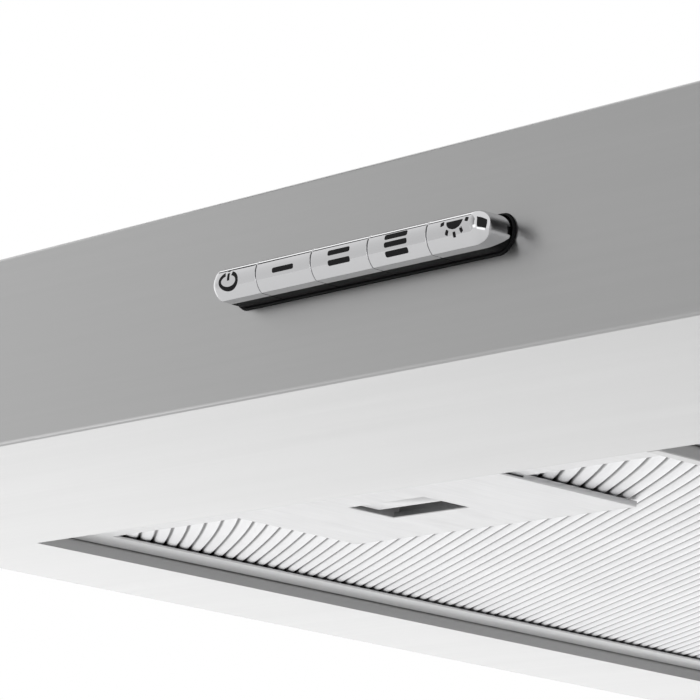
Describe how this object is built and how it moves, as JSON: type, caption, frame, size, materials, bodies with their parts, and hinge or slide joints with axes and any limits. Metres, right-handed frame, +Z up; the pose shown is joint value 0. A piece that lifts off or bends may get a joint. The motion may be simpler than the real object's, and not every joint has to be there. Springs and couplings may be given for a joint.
{
  "type": "under cabinet range hood",
  "caption": "Shallow stainless under-cabinet range hood: flat fascia with chrome push-button strip, tilting mesh grease filters, lamps, blower and round duct collar with damper flaps.",
  "frame": {"origin": "middle of the hood's plan outline, on the flat top face that bears on the cabinet's underside", "axes": "+X along the hood's width to the user's right, +Y from the fascia back to the wall, +Z up into the cabinet"},
  "size_m": [0.75, 0.5112, 0.17],
  "materials": {
    "stainless": "fine grain brushed along the width",
    "galvanised": "galvanised sheet with a faint spangle",
    "aluminium_sheet": "satin rolled sheet",
    "aluminium_mesh": "layered expanded mesh with slanting ripples",
    "motor_steel": "zinc plated can with satin end caps",
    "wheel_plastic": "moulded, satin",
    "white_plastic": "moulded, semi gloss",
    "zinc_plate": "bright zinc plating",
    "black_plastic": "moulded, fine texture",
    "circuit_board": "solder mask",
    "chrome": "mirror bright plating",
    "frosted_lens": "frosted diffuser"
  },
  "bodies": {
    "hood": {"canopy_shell": "stainless", "top_deck": "stainless", "filter_divider": "stainless", "back_panel": "galvanised", "housing_shell": "stainless", "duct_collar": "galvanised", "damper_crossbar": "galvanised", "blower_base": "galvanised", "blower_wrapper": "galvanised", "blower_top": "galvanised", "fan_motor": "motor_steel", "motor_capacitor": "white_plastic", "capacitor_clip": "zinc_plate", "terminal_box": "black_plastic", "terminal_box_cover": "black_plastic", "terminal_block": "white_plastic", "control_board": "circuit_board", "cable_gland": "black_plastic", "gland_nut": "black_plastic", "lamp_driver": "white_plastic", "strip_bezel": "black_plastic", "switch_carrier": "black_plastic", "switch_board": "circuit_board", "lamp_left_bezel": "chrome", "lamp_left_lens": "frosted_lens", "lamp_left_body": "aluminium_sheet", "lamp_right_bezel": "chrome", "lamp_right_lens": "frosted_lens", "lamp_right_body": "aluminium_sheet", "carrier_screw_left": "zinc_plate", "carrier_screw_right": "zinc_plate", "motor_screw_1": "zinc_plate", "motor_screw_2": "zinc_plate", "motor_screw_3": "zinc_plate", "housing_screw_1": "zinc_plate", "housing_screw_2": "zinc_plate", "housing_screw_3": "zinc_plate", "collar_screw_1": "zinc_plate", "collar_screw_2": "zinc_plate", "collar_screw_3": "zinc_plate", "collar_screw_4": "zinc_plate"},
    "damper_front": {"damper_flap_front": "aluminium_sheet"},
    "damper_rear": {"damper_flap_rear": "aluminium_sheet"},
    "fan": {"impeller": "wheel_plastic", "motor_shaft": "motor_steel"},
    "button_power": {"button_power": "chrome"},
    "button_low": {"button_low": "chrome"},
    "button_medium": {"button_medium": "chrome"},
    "button_high": {"button_high": "chrome"},
    "button_light": {"button_light": "chrome"},
    "filter_left": {"filter_left_frame": "aluminium_sheet", "filter_left_front_mesh": "aluminium_mesh", "filter_left_rear_mesh": "aluminium_mesh", "filter_left_latch_plate": "aluminium_sheet"},
    "filter_left_latch": {"filter_left_latch_slider": "aluminium_sheet"},
    "filter_right": {"filter_right_frame": "aluminium_sheet", "filter_right_front_mesh": "aluminium_mesh", "filter_right_rear_mesh": "aluminium_mesh", "filter_right_latch_plate": "aluminium_sheet"},
    "filter_right_latch": {"filter_right_latch_slider": "aluminium_sheet"}
  },
  "joints": [
    {"name": "fan_spin", "type": "hinge", "parent": "hood", "child": "fan", "pos_m": [-0.16, 0.085, -0.04], "axis": [0, 0, -1], "continuous": true},
    {"name": "damper_front_swing", "type": "hinge", "parent": "hood", "child": "damper_front", "pos_m": [0, 0.146, 0.007], "axis": [-1, 0, 0], "range_deg": [0, 80]},
    {"name": "damper_rear_swing", "type": "hinge", "parent": "hood", "child": "damper_rear", "pos_m": [0, 0.154, 0.007], "axis": [1, 0, 0], "range_deg": [0, 80]},
    {"name": "button_power_press", "type": "slide", "parent": "hood", "child": "button_power", "axis": [0, 1, 0], "range_m": [0, 0.0018], "stiffness_N_per_m": 400, "springref_m": -0.001},
    {"name": "button_low_press", "type": "slide", "parent": "hood", "child": "button_low", "axis": [0, 1, 0], "range_m": [0, 0.0018], "stiffness_N_per_m": 400, "springref_m": -0.001},
    {"name": "button_medium_press", "type": "slide", "parent": "hood", "child": "button_medium", "axis": [0, 1, 0], "range_m": [0, 0.0018], "stiffness_N_per_m": 400, "springref_m": -0.001},
    {"name": "button_high_press", "type": "slide", "parent": "hood", "child": "button_high", "axis": [0, 1, 0], "range_m": [0, 0.0018], "stiffness_N_per_m": 400, "springref_m": -0.001},
    {"name": "button_light_press", "type": "slide", "parent": "hood", "child": "button_light", "axis": [0, 1, 0], "range_m": [0, 0.0018], "stiffness_N_per_m": 400, "springref_m": -0.001},
    {"name": "filter_left_tilt", "type": "hinge", "parent": "hood", "child": "filter_left", "pos_m": [-0.15825, 0.21, -0.124], "axis": [1, 0, 0], "range_deg": [0, 60]},
    {"name": "filter_left_latch_pull", "type": "slide", "parent": "filter_left", "child": "filter_left_latch", "axis": [0, 1, 0], "range_m": [0, 0.007], "stiffness_N_per_m": 400, "springref_m": -0.002},
    {"name": "filter_right_tilt", "type": "hinge", "parent": "hood", "child": "filter_right", "pos_m": [0.15825, 0.21, -0.124], "axis": [1, 0, 0], "range_deg": [0, 60]},
    {"name": "filter_right_latch_pull", "type": "slide", "parent": "filter_right", "child": "filter_right_latch", "axis": [0, 1, 0], "range_m": [0, 0.007], "stiffness_N_per_m": 400, "springref_m": -0.002}
  ]
}
